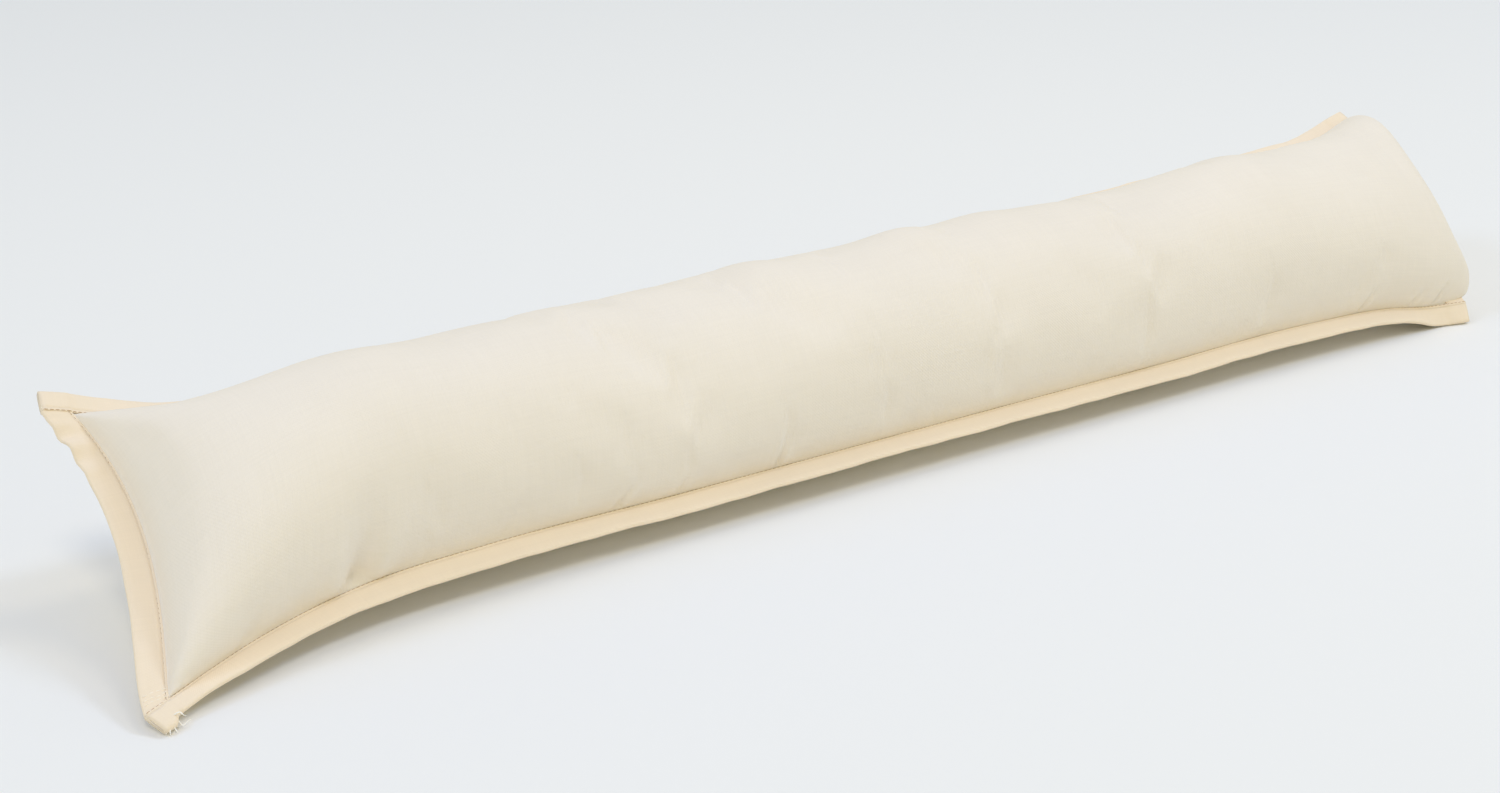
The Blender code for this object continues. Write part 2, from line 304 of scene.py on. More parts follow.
def end_frame(end, across):
    """Outward and upward directions of an end binding; at the corners they match the long bindings."""
    step = 1e-3
    forth = unit(end_seam(end, across + step) - end_seam(end, across - step))
    way = 2 * end - 1
    straight = np.array([way, 0.0, 0.0])
    straight = unit(straight - (forth @ straight)[:, None] * forth)
    lifted = way * np.cross(straight, forth)
    share = (np.abs(across) ** 3)[:, None]
    corner = [long_frame(1 if place > 0 else -1, np.array(float(end))) for place in across]
    outs = unit((1 - share) * straight + share * way * np.array([c[0] for c in corner]))
    return outs, unit((1 - share) * lifted + share * np.array([c[2] for c in corner]))


def edge_wave(edge, run, length):
    """How far the flat edge waves up or down at the tape's fold; still at the corners."""
    seed = ("front", "back", "left", "right").index(edge)
    calm = np.clip(np.minimum(run, length - run) / 0.02, 0, 1)
    wave = calm * (0.0004 * drift(run, 20 + seed, 0.085) + 0.00015 * drift(run, 30 + seed, 0.024))
    for kink in KINKS:
        if kink.edge == edge:
            wave = wave + kink.lift * np.exp(-(((run - kink.run * length) / kink.width) ** 2))
    return wave


def width_share(edge, run):
    """How much of its full width the flat edge keeps, by the distance past the left corner of its seam."""
    if edge != "front":
        return 1.0 + 0.0 * run
    started = np.clip((run + DRAWN_START) / DRAWN_STEP, 0, 1)
    return 1 - DRAWN_IN * started * np.exp(-((np.maximum(run, 0) / DRAWN_LENGTH) ** 2))


def end_closing(at):
    """How full the cushion is near its ends: 0 on the end seams, 1 past the rounding."""
    left = np.clip(at * SEAM_LENGTH / LEFT_ROUNDING, 0, 1)
    right = np.clip((1 - at) * SEAM_LENGTH / RIGHT_ROUNDING, 0, 1)
    return (1 - (1 - left) ** 2) ** 0.55 * (1 - (1 - right) ** 2) ** 0.5


def row_shares(rows):
    """Shares of the length where rows of points lie, closer together near both ends and at the creases."""
    u = np.linspace(0.0, 1.0, 4001)
    crowd = 1 + 1.6 * np.exp(-((u / 0.04) ** 2)) + 1.6 * np.exp(-(((1 - u) / 0.04) ** 2))
    for crease in CREASES:
        middle = crease.at + 0.5 * crease.lean / SEAM_LENGTH
        reach = (1.6 * crease.width + 0.5 * crease.lean) / SEAM_LENGTH
        crowd = crowd + 0.011 / (crease.width + 0.0015) * np.exp(-(((u - middle) / reach) ** 2))
    total = np.concatenate([[0.0], np.cumsum((crowd[1:] + crowd[:-1]) / 2)])
    return np.interp(np.linspace(0.0, total[-1], rows + 1), total, u)


def column_shares(columns):
    """Places across a panel, from -1 at the front seam to 1 at the back seam."""
    return -np.cos(np.linspace(0.0, math.pi, columns + 1))


def cover_layer(side, sizes):
    """Points of the upper (1) or lower (-1) layer, rows along it and columns across, with the sewn edge."""
    rows, columns = row_shares(sizes.panel_rows), column_shares(sizes.panel_columns)
    at, across = np.meshgrid(rows, columns, indexing="ij")
    depth = column_of(FULLNESS, "crown" if side > 0 else "belly", at) - 0.0015
    depth = depth + 0.0012 * drift(at * SEAM_LENGTH, 3 + side, 0.16) + 0.0008 * drift(at * SEAM_LENGTH + 0.05 * across, 9 + side, 0.09)
    swell = depth * np.sqrt(np.clip(1 - across**2, 0, 1)) * end_closing(at)
    panel = seam_surface(at, across) + side * (swell + sizes.cloth_thickness)[..., None] * upward(at)
    near_right = np.clip((1 - at) * SEAM_LENGTH / RIGHT_ROUNDING, 0, 1)
    panel[..., 0] += RIGHT_BULGE * np.sin(math.pi * near_right) * (1 - across**8) * (1 - BULGE_SKEW * across)
    layer = np.zeros((len(rows) + 2, len(columns) + 2, 3))
    layer[1:-1, 1:-1] = panel
    lip = sizes.tape_width - sizes.tape_thickness - 0.0006
    lift = side * sizes.cloth_thickness
    for edge, name, column in ((-1, "front", 0), (1, "back", -1)):
        forth, out, up = long_frame(edge, rows)
        wave = edge_wave(name, rows * SEAM_LENGTH, SEAM_LENGTH)[:, None] * lip / sizes.tape_width
        seam = long_seam(edge, rows) + lift * up
        kept = width_share(name, rows * SEAM_LENGTH)[:, None]
        layer[1:-1, column] = seam + lip * kept * out + wave * up
        layer[1:-1, 1 if edge < 0 else -2] = seam
        for end, row in ((0, 0), (1, -1)):
            layer[row, column] = (seam + lip * kept * out + (2 * end - 1) * lip * forth)[-end]
    for end, name, row in ((0, "left", 0), (1, "right", -1)):
        out, up = end_frame(end, columns)
        seam = end_seam(end, columns) + lift * up
        run = run_of(seam)
        wave = edge_wave(name, run, run[-1])[:, None] * lip / sizes.tape_width
        layer[row, 1:-1] = seam + lip * out + wave * up
        layer[1 if end == 0 else -2, 1:-1] = seam
    return layer


def run_of(points):
    """Distance along a line of points, from its first one."""
    steps = np.linalg.norm(np.diff(points, axis=0), axis=-1)
    return np.concatenate([[0.0], np.cumsum(steps)])


def mesh_object(name, points, faces, uvs=None):
    """A smooth mesh in the scene, with its cloth coordinates if it has any."""
    mesh = bpy.data.meshes.new(name)
    mesh.from_pydata([tuple(p) for p in points], [], [tuple(int(i) for i in f) for f in faces])
    if uvs is not None:
        layer = mesh.uv_layers.new(name="cloth")
        corner = np.empty(len(mesh.loops), np.int32)
        mesh.loops.foreach_get("vertex_index", corner)
        layer.data.foreach_set("uv", np.asarray(uvs, np.float32)[corner].ravel())
    mesh.validate()
    mesh.shade_smooth()
    obj = bpy.data.objects.new(name, mesh)
    bpy.context.scene.collection.objects.link(obj)
    return obj


def stitched_cover(name, sizes):
    """Both panels and their sewn edge as one closed mesh; returns it with its sewn points' indices."""
    upper, lower = cover_layer(1, sizes), cover_layer(-1, sizes)
    rows, columns = upper.shape[:2]
    index = np.arange(rows * columns).reshape(rows, columns)
    quads = np.stack([index[:-1, :-1], index[1:, :-1], index[1:, 1:], index[:-1, 1:]], -1).reshape(-1, 4)
    rim = np.concatenate([index[0, :-1], index[:-1, -1], index[-1, :0:-1], index[:0:-1, 0]])
    after = np.roll(rim, -1)
    walls = np.stack([rim, after, after + rows * columns, rim + rows * columns], -1)
    faces = np.concatenate([quads, quads[:, ::-1] + rows * columns, walls])
    along = run_of(upper[:, columns // 2])
    across = run_of(upper[rows // 2])
    u, v = np.meshgrid(along, across, indexing="ij")
    uvs = np.stack([u, v], -1).reshape(-1, 2)
    obj = mesh_object(name, np.concatenate([upper.reshape(-1, 3), lower.reshape(-1, 3)]), faces, np.concatenate([uvs, uvs + (0, 0.31)]))
    held = np.ones((rows, columns), bool)
    held[2:-2, 2:-2] = False
    held = np.flatnonzero(held)
    loop = np.concatenate([index[1, 1:-1], index[1:-1, -2], index[-2, 1:-1], index[1:-1, 1]])
    sharpen(obj.data, np.concatenate([loop, loop + rows * columns]))
    return obj, np.concatenate([held, held + rows * columns])


def sharpen(mesh, loop):
    """Keeps the edges between these points sharp when the mesh is subdivided."""
    ends = np.empty(len(mesh.edges) * 2, np.int32)
    mesh.edges.foreach_get("vertices", ends)
    inside = np.isin(ends.reshape(-1, 2), loop).all(axis=1)
    crease = mesh.attributes.new("crease_edge", "FLOAT", "EDGE")
    crease.data.foreach_set("value", inside.astype(np.float32))


def coordinates(mesh):
    points = np.empty(len(mesh.vertices) * 3, np.float32)
    mesh.vertices.foreach_get("co", points)
    return points.reshape(-1, 3).astype(float)


def set_coordinates(mesh, points):
    mesh.vertices.foreach_set("co", np.asarray(points, np.float32).ravel())
    mesh.update()


def fill_with_cloth_simulation(obj, held, sizes):
    """Blows the cover up as its filling does, with its seams held, and keeps the shape it takes."""
    group = obj.vertex_groups.new(name="sewn")
    group.add([int(i) for i in held], 1.0, "REPLACE")
    filling = obj.modifiers.new("filling", "CLOTH")
    cloth = filling.settings
    cloth.quality = 6
    cloth.mass = 0.15
    cloth.tension_stiffness = cloth.compression_stiffness = 40
    cloth.shear_stiffness = 12
    cloth.bending_stiffness = 4
    cloth.air_damping = 4
    cloth.vertex_group_mass = group.name
    cloth.use_pressure = True
    cloth.uniform_pressure_force = sizes.filling_pressure
    cloth.shrink_min = -sizes.cloth_ease
    cloth.effector_weights.gravity = 0
    filling.collision_settings.use_collision = False
    before = coordinates(obj.data)
    scene = bpy.context.scene
    for step in range(1, 21):
        scene.frame_set(step)
    settled = obj.evaluated_get(bpy.context.evaluated_depsgraph_get())
    moved = coordinates(settled.data) - before
    obj.modifiers.remove(filling)
    obj.vertex_groups.remove(group)
    scene.frame_set(1)
    far = np.linalg.norm(moved, axis=1, keepdims=True)
    limit = sizes.swell_limit
    moved *= np.where(far > 1e-9, limit * np.tanh(far / limit) / np.maximum(far, 1e-9), 1.0)
    set_coordinates(obj.data, before + moved)


def push_out(mesh, held):
    """Moves the cloth where the filling presses it, with the sewn points left as they are."""
    points = coordinates(mesh)
    sewn = points[held]
    moved = np.zeros_like(points)
    for push in PUSHES:
        near = np.linalg.norm((points - (push.x, push.y, push.z)) * (1.0, 0.7, 0.7), axis=1) / push.radius
        moved += np.exp(-(near**2))[:, None] * (push.dx, push.dy, push.dz)
    touched = np.flatnonzero(np.linalg.norm(moved, axis=1) > 1e-5)
    gap = np.array([np.linalg.norm(sewn - points[i], axis=1).min() for i in touched])
    moved[touched] *= np.clip(gap / 0.0035, 0, 1)[:, None]
    set_coordinates(mesh, points + moved)


def subdivided(obj, levels):
    """Applies a subdivision surface and keeps the cloth coordinates."""
    smooth = obj.modifiers.new("smooth", "SUBSURF")
    smooth.levels = smooth.render_levels = levels
    smooth.boundary_smooth = "PRESERVE_CORNERS"
    mesh = bpy.data.meshes.new_from_object(obj.evaluated_get(bpy.context.evaluated_depsgraph_get()))
    obj.modifiers.remove(smooth)
    old = obj.data
    obj.data = mesh
    mesh.name = obj.name
    bpy.data.meshes.remove(old)
    mesh.shade_smooth()


def press_creases(mesh):
    """Presses the creases into the upper panel and flattens the underside on the floor."""
    points = coordinates(mesh)
    normals = np.empty(len(mesh.vertices) * 3, np.float32)
    mesh.vertices.foreach_get("normal", normals)
    normals = normals.reshape(-1, 3)
    stations = np.linspace(0, 1, 400)
    at = np.interp(points[:, 0], long_seam(-1, stations)[:, 0], stations)
    foot, head = long_seam(-1, at), long_seam(1, at)
    chord = head - foot
    rise = ((points - foot) * upward(at)).sum(-1)
    up = np.clip(((points - foot) * chord).sum(-1) / (chord**2).sum(-1), 0, 1)
    angle = np.arctan2(np.maximum(rise, 0), (0.5 - up) * np.linalg.norm(chord, axis=-1))
    share = np.clip(angle / math.pi, 0, 1)
    drawn = np.zeros(len(points))
    for crease in CREASES:
        climb = share / crease.reach
        centre = crease.at * SEAM_LENGTH + crease.lean * climb
        width = crease.width * (0.8 + 0.5 * np.clip(climb, 0, 1))
        off = (at * SEAM_LENGTH - centre) / width
        fade = np.clip(1 - climb, 0, 1) ** 1.3
        drawn += crease.depth * fade * (np.exp(-(off**2)) - 0.35 * np.exp(-((np.abs(off) - 1.8) ** 2)))
    upper = np.clip(rise / 0.004 - 0.5, 0, 1)
    points -= (drawn * upper)[:, None] * normals
    points[:, 2] = np.maximum(points[:, 2], 0.0)
    set_coordinates(mesh, points)


def long_rail(side, sizes, steps=300):
    """The line that a long tape follows, past both end seams to the corner tips."""
    rows = row_shares(steps)
    forth, out, up = long_frame(side, rows)
    seam = long_seam(side, rows)
    beyond = np.linspace(sizes.tape_width, 0, 9)[:-1]
    lead = seam[0] - beyond[:, None] * forth[0]
    tail = seam[-1] + beyond[::-1, None] * forth[-1]
    points = np.concatenate([lead, seam, tail])
    out = np.concatenate([np.repeat(out[:1], 8, 0), out, np.repeat(out[-1:], 8, 0)])
    up = np.concatenate([np.repeat(up[:1], 8, 0), up, np.repeat(up[-1:], 8, 0)])
    run = run_of(points)
    tip = np.minimum(run, run[-1] - run)
    return Rail(points, out, up, run, np.clip((0.0158 - tip) / 0.003, 0, 1))


def end_rail(end, sizes, steps=90):
    """The line that an end tape follows, tucked under the long tapes at both ends."""
    columns = column_shares(steps)
    out, up = end_frame(end, columns)
    seam = end_seam(end, columns)
    tuck = np.linspace(0.009, 0, 4)[:-1]
    front = long_frame(-1, np.array(float(end)))[1]
    back = long_frame(1, np.array(float(end)))[1]
    points = np.concatenate([seam[0] + tuck[:, None] * front, seam, seam[-1] + tuck[::-1, None] * back])
    out = np.concatenate([np.repeat(out[:1], 3, 0), out, np.repeat(out[-1:], 3, 0)])
    up = np.concatenate([np.repeat(up[:1], 3, 0), up, np.repeat(up[-1:], 3, 0)])
    run = run_of(points)
    return Rail(points, out, up, run, 0.0 * run)


def tape_section(sizes, setback, corner, closed):
    """The folded tape's section as (out, lift) pairs, thicker where it crosses another, shut at its tip."""
    layer = sizes.tape_thickness
    slot = sizes.cloth_thickness + 0.0002 + corner * (layer + 0.0001)
    slot = slot * (1 - closed) + 0.00005 * closed
    shell = sizes.cloth_thickness + 0.0002 + corner * (layer + 0.0001) + layer - 0.0004 * closed
    width, inner = sizes.tape_width, setback
    wing = [
        (inner, slot),
        (inner - 0.00015, (slot + shell) / 2),
        (inner + 0.0001, shell - 0.0001),
        (inner + 0.0005, shell + 0.00010),
        (inner + 0.0012, shell + 0.00010),
        (inner + 0.0016, shell - 0.00045),
        (inner + 0.0020, shell + 0.00008),
        (inner + 0.0032, shell + 0.00020),
        (width * 0.6, shell + 0.00022),
        (width - 0.0030, shell + 0.00005),
    ]
    bend = [(width - shell + shell * math.sin(a), shell * math.cos(a)) for a in np.linspace(0.3, math.pi - 0.3, 7)]
    fold = width - layer
    inside = [(fold - slot, -slot), (fold, -slot * 0.3), (fold, slot * 0.3), (fold - slot, slot)]
    return wing + bend + [(a, -b) for a, b in reversed(wing)] + inside


def folded_tape(name, edge, rail, sizes, capped):
    """A strip of tape folded over the sewn edge, with the edge's waves."""
    length = rail.run[-1]
    wave = edge_wave(edge, rail.run - (sizes.tape_width if capped else 0.009), length - 2 * (sizes.tape_width if capped else 0.009))
    seed = ("front", "back", "left", "right").index(edge)
    pinch = 1 + 0.018 * drift(rail.run, 40 + seed, 0.05)
    pinch = pinch * width_share(edge, rail.run - sizes.tape_width)
    tip = np.minimum(rail.run, length - rail.run)
    closed = np.clip(1 - tip / 0.0012, 0, 1) if capped else 0 * tip
    rings, uvs = [], []
    for k, point in enumerate(rail.points):
        section = np.array(tape_section(sizes, SETBACKS[edge], rail.corner[k], closed[k]))
        out = section[:, 0] * pinch[k]
        lift = section[:, 1] + wave[k] * section[:, 0] / sizes.tape_width
        rings.append(point + out[:, None] * rail.out[k] + lift[:, None] * rail.up[k])
        round_it = run_of(section)
        uvs.append(np.stack([np.full(len(section), rail.run[k]), round_it], -1))
    rings = np.array(rings)
    steps, count = rings.shape[:2]
    index = np.arange(steps * count).reshape(steps, count)
    following = np.roll(index, -1, axis=1)
    sides = np.stack([index[:-1], following[:-1], following[1:], index[1:]], -1).reshape(-1, 4)
    faces = [tuple(f) for f in sides] + [tuple(index[0][::-1]), tuple(index[-1])]
    obj = mesh_object(name, rings.reshape(-1, 3), faces, np.array(uvs).reshape(-1, 2))
    face_outwards(obj.data)
    return obj


def face_outwards(mesh):
    bm = bmesh.new()
    bm.from_mesh(mesh)
    bmesh.ops.recalc_face_normals(bm, faces=bm.faces[:])
    bm.to_mesh(mesh)
    bm.free()
    mesh.shade_smooth()


def stitch_lines(rail, edge, sizes, capped):
    """The two lines, above and below the edge, where a tape's thread shows."""
    length = rail.run[-1]
    inset = sizes.tape_width if capped else 0.009
    wave = edge_wave(edge, rail.run - inset, length - 2 * inset)
    out = SETBACKS[edge] + (0.0012 if edge == "left" else 0.00025)
    lines = []
    for side in (1, -1):
        lift = sizes.cloth_thickness + 0.0002 + rail.corner * (sizes.tape_thickness + 0.0001) + sizes.tape_thickness - (0.00022 if edge == "left" else 0.0001)
        lift = side * lift + wave * out / sizes.tape_width
        line = rail.points + out * rail.out + lift[:, None] * rail.up
        keep = (rail.run > 0.0016) & (rail.run < length - 0.0016) if capped else (rail.run > 0.0095) & (rail.run < length - 0.0095)
        lines.append(line[keep])
    return lines


def tack_lines(rail, sizes):
    """Short rows of backstitching across the left tape, where the front tape is sewn over it."""
    lines = []
    for start, finish in ((0.0105, 0.0122), (0.0126, 0.0140), (0.0148, 0.0157)):
        share = np.linspace(0, 1, 12)
        along = start + (finish - start) * share
        k = np.clip(np.searchsorted(rail.run, along), 0, len(rail.run) - 1)
        out = 0.0015 + 0.0100 * share
        lift = sizes.cloth_thickness + 0.0003 + sizes.tape_thickness
        lines.append(rail.points[k] + out[:, None] * rail.out[k] + lift * rail.up[k])
    return lines


def strand(name, spec, radius, seed):
    """One loose end of thread: a thin closed tube that curls a little."""
    dice = np.random.default_rng(seed)
    root, end = np.array(spec[:3]), np.array(spec[3:])
    u = np.linspace(0, 1, 15)[:, None]
    length = np.linalg.norm(end - root)
    bend = dice.normal(size=3) * 0.16 * length
    ripple = dice.normal(size=3) * 0.05 * length
    line = root + (end - root) * u + bend * np.sin(math.pi * u) + ripple * np.sin(2.6 * math.pi * u)
    line[:, 2] = np.maximum(line[:, 2], radius)
    forth = unit(np.gradient(line, axis=0))
    side = unit(np.cross(forth, (0.0, 0.0, 1.0)))
    up = np.cross(side, forth)
    turn = np.linspace(0, 2 * math.pi, 7)[:-1]
    thick = radius * np.clip((1.02 - u) / 0.25, 0.35, 1)
    rings = line[:, None] + thick[:, None] * (np.cos(turn)[:, None] * side[:, None] + np.sin(turn)[:, None] * up[:, None])
    steps, count = rings.shape[:2]
    index = np.arange(steps * count).reshape(steps, count)
    following = np.roll(index, -1, axis=1)
    sides = np.stack([index[:-1], following[:-1], following[1:], index[1:]], -1).reshape(-1, 4)
    obj = mesh_object(name, rings.reshape(-1, 3), [tuple(f) for f in sides] + [tuple(index[0][::-1]), tuple(index[-1])])
    face_outwards(obj.data)
    return obj


def add_node(tree, kind, settings=None, links=None):
    """Adds a node, sets its properties and input values, and links outputs to its inputs."""
    node = tree.nodes.new(kind)
    for key, value in (settings or {}).items():
        if isinstance(key, int) or key in node.inputs:
            node.inputs[key].default_value = value
        else:
            setattr(node, key, value)
    for key, source in (links or {}).items():
        tree.links.new(source, node.inputs[key])
    return node


def stitch_tree(material):
    """Geometry Nodes: one thread stitch, laid again and again along each line."""
    tree = bpy.data.node_groups.new("thread_stitches", "GeometryNodeTree")
    face = tree.interface
    face.new_socket("Lines", in_out="INPUT", socket_type="NodeSocketGeometry")
    for name, value in (("Pitch", 0.0027), ("Stitch Length", 0.0020), ("Thread Diameter", 0.00045)):
        face.new_socket(name, in_out="INPUT", socket_type="NodeSocketFloat").default_value = value
    face.new_socket("Stitches", in_out="OUTPUT", socket_type="NodeSocketGeometry")
    given = add_node(tree, "NodeGroupInput")
    curve = add_node(tree, "GeometryNodeMeshToCurve", links={"Mesh": given.outputs["Lines"]})
    spaced = add_node(
        tree,
        "GeometryNodeResampleCurve",
        {"mode": "LENGTH"},
        {"Curve": curve.outputs["Curve"], "Length": given.outputs["Pitch"]},
    )
    bead = add_node(tree, "GeometryNodeMeshUVSphere", {"Segments": 6, "Rings": 5, "Radius": 0.5})
    size = add_node(
        tree,
        "ShaderNodeCombineXYZ",
        links={"X": given.outputs["Thread Diameter"], "Y": given.outputs["Thread Diameter"], "Z": given.outputs["Stitch Length"]},
    )
    tangent = add_node(tree, "GeometryNodeInputTangent")
    turned = add_node(tree, "FunctionNodeAlignRotationToVector", {"axis": "Z"}, {"Vector": tangent.outputs["Tangent"]})
    laid = add_node(
        tree,
        "GeometryNodeInstanceOnPoints",
        links={
            "Points": spaced.outputs["Curve"],
            "Instance": bead.outputs["Mesh"],
            "Rotation": turned.outputs["Rotation"],
            "Scale": size.outputs["Vector"],
        },
    )
    real = add_node(tree, "GeometryNodeRealizeInstances", links={"Geometry": laid.outputs["Instances"]})
    smooth = add_node(tree, "GeometryNodeSetShadeSmooth", links={"Geometry": real.outputs["Geometry"]})
    painted = add_node(tree, "GeometryNodeSetMaterial", {"Material": material}, {"Geometry": smooth.outputs["Geometry"]})
    add_node(tree, "NodeGroupOutput", links={"Stitches": painted.outputs["Geometry"]})
    return tree


def thread_along(name, lines, sizes, material):
    """Stitches along each of these lines, as one plain mesh."""
    points = np.concatenate(lines)
    edges, first = [], 0
    for line in lines:
        edges += [(i, i + 1) for i in range(first, first + len(line) - 1)]
        first += len(line)
    guide = bpy.data.meshes.new(name + "_guide")
    guide.from_pydata([tuple(p) for p in points], edges, [])
    obj = bpy.data.objects.new(name, guide)
    bpy.context.scene.collection.objects.link(obj)
    maker = obj.modifiers.new("stitches", "NODES")
    maker.node_group = stitch_tree(material)
    values = {"Pitch": sizes.stitch_pitch, "Stitch Length": sizes.stitch_length, "Thread Diameter": sizes.thread_diameter}
    for item in maker.node_group.interface.items_tree:
        if item.name in values:
            maker[item.identifier] = values[item.name]
    made = bpy.data.meshes.new_from_object(obj.evaluated_get(bpy.context.evaluated_depsgraph_get()))
    obj.modifiers.remove(maker)
    obj.data = made
    made.name = name
    bpy.data.meshes.remove(guide)
    return obj


def new_material(name):
    material = bpy.data.materials.new(name)
    material.use_nodes = True
    return material, material.node_tree, material.node_tree.nodes["Principled BSDF"]


def woven_cotton(name, colour, pitch, relief, sheen):
    """Plain-woven cotton: matte, with threads over and under, thick and thin threads and faint cloudiness."""
    material, tree, shader = new_material(name)
    shader.inputs["Roughness"].default_value = 0.9
    shader.inputs["Specular IOR Level"].default_value = 0.25
    shader.inputs["Sheen Weight"].default_value = sheen
    shader.inputs["Sheen Roughness"].default_value = 0.5
    cloth = add_node(tree, "ShaderNodeUVMap", {"uv_map": "cloth"})
    parts = add_node(tree, "ShaderNodeSeparateXYZ", links={0: cloth.outputs["UV"]})
    waves = []
    for axis in ("X", "Y"):
        turn = add_node(tree, "ShaderNodeMath", {"operation": "MULTIPLY", 1: math.pi / pitch}, {0: parts.outputs[axis]})
        waves.append(add_node(tree, "ShaderNodeMath", {"operation": "SINE"}, {0: turn.outputs[0]}))
    over_under = add_node(tree, "ShaderNodeMath", {"operation": "MULTIPLY"}, {0: waves[0].outputs[0], 1: waves[1].outputs[0]})
    slubs = []
    for stretch in ((30.0, 0.8 / pitch, 1.0), (0.8 / pitch, 30.0, 1.0)):
        laid = add_node(tree, "ShaderNodeMapping", {"Scale": stretch}, {"Vector": cloth.outputs["UV"]})
        slubs.append(add_node(tree, "ShaderNodeTexNoise", {"Scale": 1.0, "Detail": 2.0}, {"Vector": laid.outputs["Vector"]}))
    thick = add_node(tree, "ShaderNodeMath", {"operation": "ADD"}, {0: slubs[0].outputs["Fac"], 1: slubs[1].outputs["Fac"]})
    height = add_node(
        tree, "ShaderNodeMath", {"operation": "MULTIPLY_ADD", 1: 0.45}, {0: over_under.outputs[0], 2: thick.outputs[0]}
    )
    bump = add_node(tree, "ShaderNodeBump", {"Strength": 1.0, "Distance": relief}, {"Height": height.outputs[0]})
    place = add_node(tree, "ShaderNodeTexCoord")
    cloud = add_node(
        tree, "ShaderNodeTexNoise", {"Scale": 14.0, "Detail": 3.0, "Roughness": 0.6}, {"Vector": place.outputs["Object"]}
    )
    shade = add_node(
        tree,
        "ShaderNodeMapRange",
        {"From Min": 0.7, "From Max": 1.3, "To Min": 0.985, "To Max": 1.012},
        {"Value": thick.outputs[0]},
    )
    patch = add_node(
        tree,
        "ShaderNodeMapRange",
        {"From Min": 0.3, "From Max": 0.7, "To Min": 0.985, "To Max": 1.015},
        {"Value": cloud.outputs["Fac"]},
    )
    both = add_node(tree, "ShaderNodeMath", {"operation": "MULTIPLY"}, {0: shade.outputs[0], 1: patch.outputs[0]})
    tint = add_node(tree, "ShaderNodeMix", {"data_type": "RGBA", "blend_type": "MULTIPLY", "Factor": 1.0})
    tint.inputs[6].default_value = colour
    tree.links.new(both.outputs[0], tint.inputs[7])
    tree.links.new(tint.outputs[2], shader.inputs["Base Color"])
    tree.links.new(bump.outputs["Normal"], shader.inputs["Normal"])
    return material


def spun_thread(name, colour):
    """Spun cotton sewing thread: soft, with the light and dark of its twist."""
    material, tree, shader = new_material(name)
    shader.inputs["Roughness"].default_value = 0.75
    shader.inputs["Sheen Weight"].default_value = 0.2
    place = add_node(tree, "ShaderNodeTexCoord")
    twist = add_node(tree, "ShaderNodeTexNoise", {"Scale": 900.0, "Detail": 1.0}, {"Vector": place.outputs["Object"]})
    shade = add_node(tree, "ShaderNodeMapRange", {"To Min": 0.86, "To Max": 1.1}, {"Value": twist.outputs["Fac"]})
    tint = add_node(tree, "ShaderNodeMix", {"data_type": "RGBA", "blend_type": "MULTIPLY", "Factor": 1.0})
    tint.inputs[6].default_value = colour
    tree.links.new(shade.outputs[0], tint.inputs[7])
    tree.links.new(tint.outputs[2], shader.inputs["Base Color"])
    return material


class BUILD_OT_filled_cover(bpy.types.Operator):
    """Cuts both panels, sews them and fills them."""

    bl_idname = "draught_excluder.filled_cover"
    bl_label = "Filled cover"

    def execute(self, context):
        sizes, colours = context.scene.cushion_sizes, context.scene.cushion_colours
        cover, held = stitched_cover("stuffed_cover", sizes)
        fill_with_cloth_simulation(cover, held, sizes)
        push_out(cover.data, held)
        subdivided(cover, 1)
        press_creases(cover.data)
        # Unbleached calico: threads about 0.5 mm apart, drawn at 0.9 mm so that they show in a render.
        cover.data.materials.append(woven_cotton("woven_calico", tuple(colours.panel), 0.0009, 0.00005, 0.1))
        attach(cover, "root")
        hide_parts("filled_cover")
        return {"FINISHED"}


class BUILD_OT_bindings(bpy.types.Operator):
    """Folds the four tapes over the sewn edge and stitches them down."""

    bl_idname = "draught_excluder.bindings"
    bl_label = "Bindings and stitching"

    def execute(self, context):
        sizes, colours = context.scene.cushion_sizes, context.scene.cushion_colours
        # Cotton tape: finer and tighter than the panels, so it is smoother and a little brighter.
        material = woven_cotton("woven_tape", tuple(colours.tape), 0.0007, 0.00003, 0.1)
        lines = []
        for edge, rail, capped in (
            ("front", long_rail(-1, sizes), True),
            ("back", long_rail(1, sizes), True),
            ("left", end_rail(0, sizes), False),
            ("right", end_rail(1, sizes), False),
        ):
            tape = folded_tape("tape_" + edge, edge, rail, sizes, capped)
            tape.data.materials.append(material)
            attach(tape, "root")
            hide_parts("binding_" + edge)
            lines += stitch_lines(rail, edge, sizes, capped)
            if edge == "left":
                tacks = tack_lines(rail, sizes)
        # Topstitching: its tan is partly the thread's own colour and partly painted shade of the crevice along each
        # tape's inner fold, where these stitches lie.
        thread_and_crevice_shade = spun_thread("thread_with_painted_crevice_shade", tuple(colours.thread))
        pale = spun_thread("pale_tacking_thread", linear("FBF3E6"))
        for thread in (thread_along("topstitching", lines, sizes, thread_and_crevice_shade), thread_along("corner_tacking", tacks, sizes, pale)):
            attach(thread, "root")
        return {"FINISHED"}


class BUILD_OT_loose_threads(bpy.types.Operator):
    """Leaves the cut ends of thread at the front left corner."""

    bl_idname = "draught_excluder.loose_threads"
    bl_label = "Loose threads"

    def execute(self, context):
        sizes = context.scene.cushion_sizes
        material = spun_thread("undyed_thread_ends", linear("FFFCF6"))
        for k, spec in enumerate(STRANDS):
            end = strand(f"thread_end_{k}", spec, sizes.thread_diameter * 0.72, 60 + k)
            end.data.materials.append(material)
            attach(end, "root")
        return {"FINISHED"}


